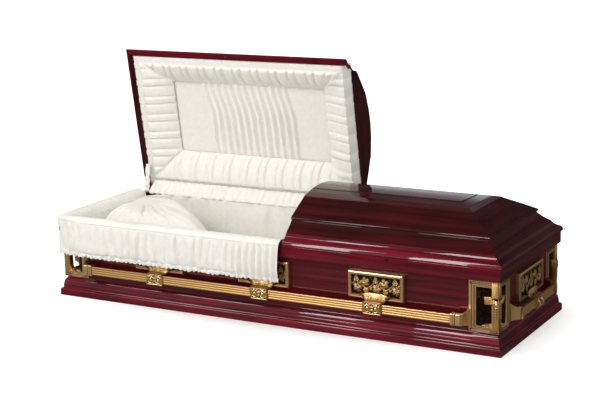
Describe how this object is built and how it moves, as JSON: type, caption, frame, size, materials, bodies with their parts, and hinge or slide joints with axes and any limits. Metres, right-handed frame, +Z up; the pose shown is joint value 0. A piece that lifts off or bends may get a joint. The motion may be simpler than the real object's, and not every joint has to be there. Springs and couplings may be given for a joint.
{
  "type": "funeral casket",
  "caption": "Lacquered wooden funeral casket with a two-part hinged lid, head lid open on a ruched satin lining, framed relief plates and gilt carrying bars.",
  "frame": {"origin": "centre of the underside of the bottom board", "axes": "+X towards the foot end, -Y towards the front (the side away from the hinges), +Z up"},
  "size_m": [2.156, 0.8674, 1.0242],
  "materials": {
    "mahogany": "dark red mahogany stain under mirror-gloss lacquer",
    "gilt_metal": "gilt, softly polished, darker in the flutes",
    "antique_gilt": "antique gilt casting, dark brown in the recesses",
    "hinge_metal": "dull plated metal",
    "satin": "ivory crepe satin, ruched and padded",
    "ticking": "plain ivory cotton cover"
  },
  "bodies": {
    "root": {"plinth_moulding_front": "mahogany", "plinth_moulding_back": "mahogany", "plinth_moulding_head": "mahogany", "plinth_moulding_foot": "mahogany", "bottom_board": "mahogany", "side_board_front": "mahogany", "side_board_back": "mahogany", "end_board_head": "mahogany", "end_board_foot": "mahogany", "corner_board_head_front": "mahogany", "corner_board_head_back": "mahogany", "corner_board_foot_front": "mahogany", "corner_board_foot_back": "mahogany", "rim_rail_front": "mahogany", "rim_rail_back": "mahogany", "rim_rail_head": "mahogany", "rim_rail_foot": "mahogany", "head_lid_rim_hinge": "hinge_metal", "foot_lid_rim_hinge": "hinge_metal", "foot_lid_latch": "hinge_metal", "box_lining": "satin", "mattress": "ticking", "pillow": "satin", "apron": "satin", "hinge_cloth": "satin", "lid_stay_sleeve": "satin", "bar_front": "gilt_metal", "bar_back": "gilt_metal", "bar_foot": "gilt_metal", "bar_head": "gilt_metal", "lug_front_head": "antique_gilt", "lug_front_middle": "antique_gilt", "lug_front_foot": "antique_gilt", "lug_back_head": "antique_gilt", "lug_back_middle": "antique_gilt", "lug_back_foot": "antique_gilt", "lug_foot_end": "antique_gilt", "lug_head_end": "antique_gilt", "corner_casting_foot_front": "antique_gilt", "corner_casting_foot_back": "antique_gilt", "corner_casting_head_front": "antique_gilt", "corner_casting_head_back": "antique_gilt"},
    "head_lid": {"head_lid_front_moulding": "mahogany", "head_lid_back_moulding": "mahogany", "head_lid_end_moulding": "mahogany", "head_lid_crown": "mahogany", "head_lid_header": "mahogany", "head_lid_lining_border": "satin", "head_lid_lining_panel": "satin", "head_lid_lid_hinge": "hinge_metal", "head_lid_latch": "hinge_metal"},
    "foot_lid": {"foot_lid_front_moulding": "mahogany", "foot_lid_back_moulding": "mahogany", "foot_lid_end_moulding": "mahogany", "foot_lid_crown": "mahogany", "foot_lid_header": "mahogany", "foot_lid_lining": "satin", "foot_lid_lid_hinge": "hinge_metal"}
  },
  "joints": [
    {"name": "head_lid_hinge", "type": "hinge", "parent": "root", "child": "head_lid", "pos_m": [-0.468, 0.3432, 0.3415], "axis": [1, 0, 0], "range_deg": [0, 80.9], "deforming": ["apron", "hinge_cloth", "lid_stay_sleeve"]},
    {"name": "foot_lid_hinge", "type": "hinge", "parent": "root", "child": "foot_lid", "pos_m": [0.566, 0.3432, 0.3415], "axis": [-1, 0, 0], "range_deg": [0, 80.9]}
  ]
}
